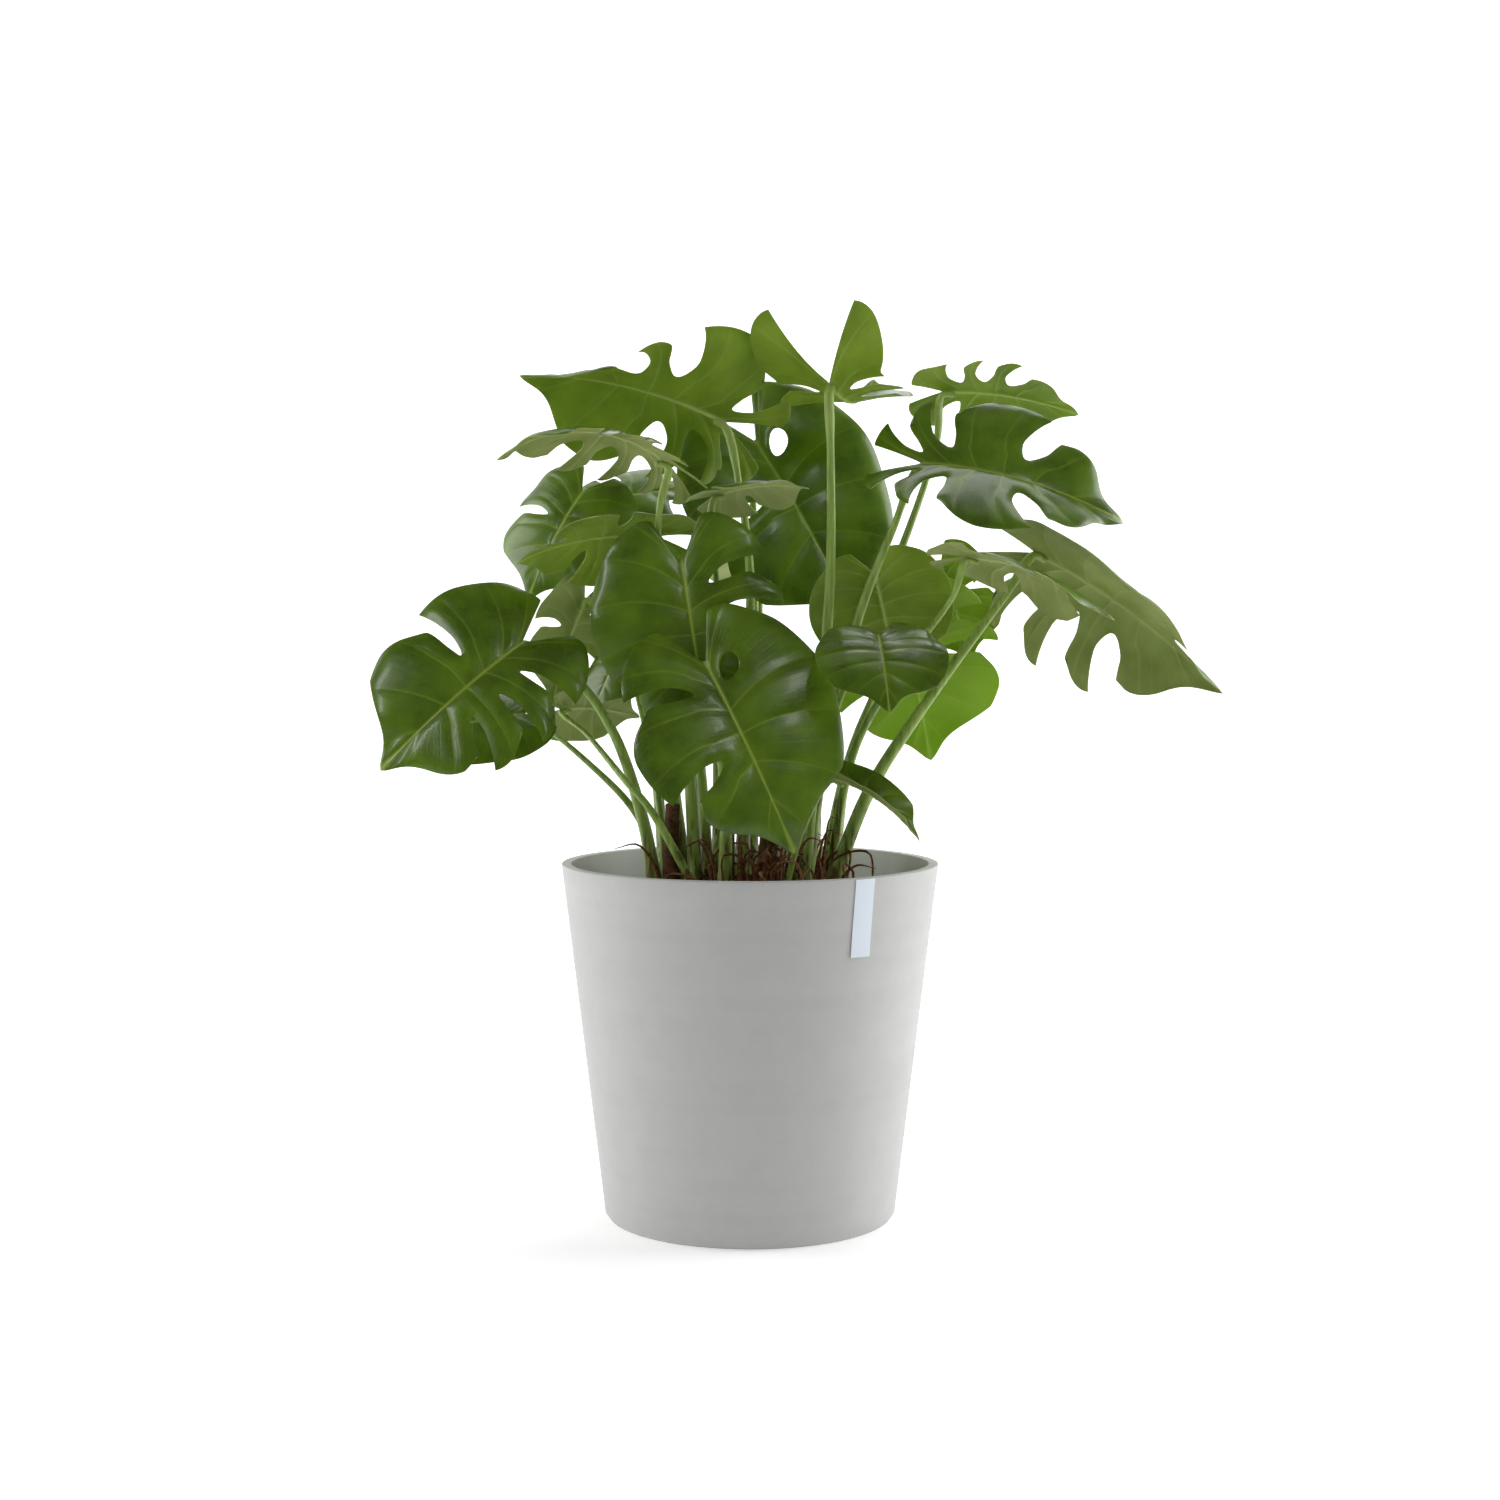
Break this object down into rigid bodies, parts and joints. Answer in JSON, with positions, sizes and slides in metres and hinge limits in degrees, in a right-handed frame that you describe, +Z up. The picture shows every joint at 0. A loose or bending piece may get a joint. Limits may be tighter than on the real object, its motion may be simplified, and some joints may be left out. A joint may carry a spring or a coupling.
{
  "type": "potted monstera plant",
  "caption": "Leafy monstera with split, drooping leaves on long arching stalks, growing from soil in a tapered light grey planter.",
  "frame": {"origin": "centre of the planter's flat underside, on the floor", "axes": "+Z up; -Y towards the side where the tag hangs and the largest leaves face; +X to the right seen from there"},
  "size_m": [0.9898, 0.5734, 1.0672],
  "materials": {
    "planter": "matte",
    "soil": "matte",
    "tag": "matte",
    "leaf": "satin",
    "stalk": "satin",
    "stem": "matte",
    "root": "matte"
  },
  "bodies": {
    "root": {"planter": "planter", "soil": "soil", "tag": "tag", "leaf_front_left": "leaf", "stalk_front_left": "stalk", "leaf_front_centre": "leaf", "stalk_front_centre": "stalk", "leaf_centre": "leaf", "stalk_centre": "stalk", "leaf_upper_left": "leaf", "stalk_upper_left": "stalk", "leaf_left_edge": "leaf", "stalk_left_edge": "stalk", "leaf_left_glossy": "leaf", "stalk_left_glossy": "stalk", "leaf_mid_left": "leaf", "stalk_mid_left": "stalk", "leaf_back_left": "leaf", "stalk_back_left": "stalk", "leaf_back_centre": "leaf", "stalk_back_centre": "stalk", "leaf_top": "leaf", "stalk_top": "stalk", "leaf_upper_right": "leaf", "stalk_upper_right": "stalk", "leaf_back_right_top": "leaf", "stalk_back_right_top": "stalk", "leaf_right_drooping": "leaf", "stalk_right_drooping": "stalk", "leaf_right_folded": "leaf", "stalk_right_folded": "stalk", "leaf_light_heart": "leaf", "stalk_light_heart": "stalk", "leaf_dark_heart": "leaf", "stalk_dark_heart": "stalk", "leaf_lime_right": "leaf", "stalk_lime_right": "stalk", "leaf_back_right": "leaf", "stalk_back_right": "stalk", "leaf_centre_edge": "leaf", "stalk_centre_edge": "stalk", "leaf_juvenile": "leaf", "stalk_juvenile": "stalk", "leaf_lower_left_dark": "leaf", "stalk_lower_left_dark": "stalk", "leaf_lower_left_pale": "leaf", "stalk_lower_left_pale": "stalk", "leaf_hanging_left": "leaf", "stalk_hanging_left": "stalk", "leaf_lime_left": "leaf", "stalk_lime_left": "stalk", "leaf_rear": "leaf", "stalk_rear": "stalk", "leaf_left_dark": "leaf", "stalk_left_dark": "stalk", "stem_left": "stem", "stem_centre": "stem", "aerial_root_front": "root", "aerial_root_middle": "root", "aerial_root_left": "root"}
  },
  "joints": []
}
